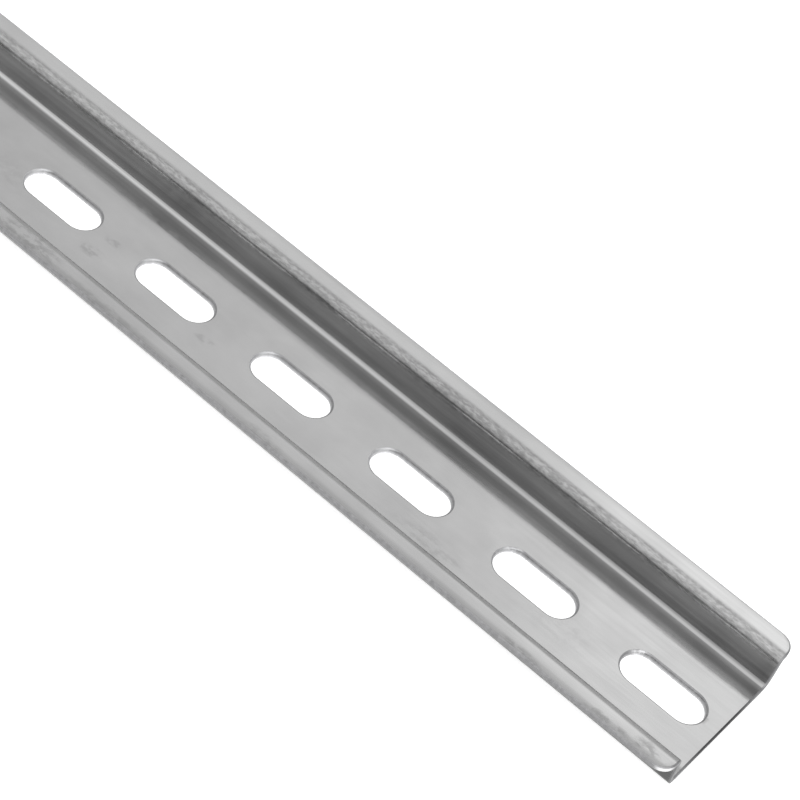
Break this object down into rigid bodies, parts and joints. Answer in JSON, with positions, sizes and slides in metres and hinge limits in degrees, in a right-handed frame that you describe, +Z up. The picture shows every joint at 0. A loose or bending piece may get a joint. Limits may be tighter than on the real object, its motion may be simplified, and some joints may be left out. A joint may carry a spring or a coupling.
{
  "type": "din rail",
  "caption": "Slotted steel top-hat mounting rail, 35 mm wide and 7.5 mm deep, for clipping on terminals, breakers and other panel devices.",
  "frame": {"origin": "middle of the underside of the base, on the panel face", "axes": "+X along the rail towards the end that the picture shows, +Y across it, +Z up from the panel, towards the open side of the channel"},
  "size_m": [0.3, 0.035, 0.0075],
  "materials": {
    "zinc_plated_steel": "satin, zinc-plated, light rolling streaks"
  },
  "bodies": {
    "root": {"din_rail": "zinc_plated_steel"}
  },
  "joints": []
}
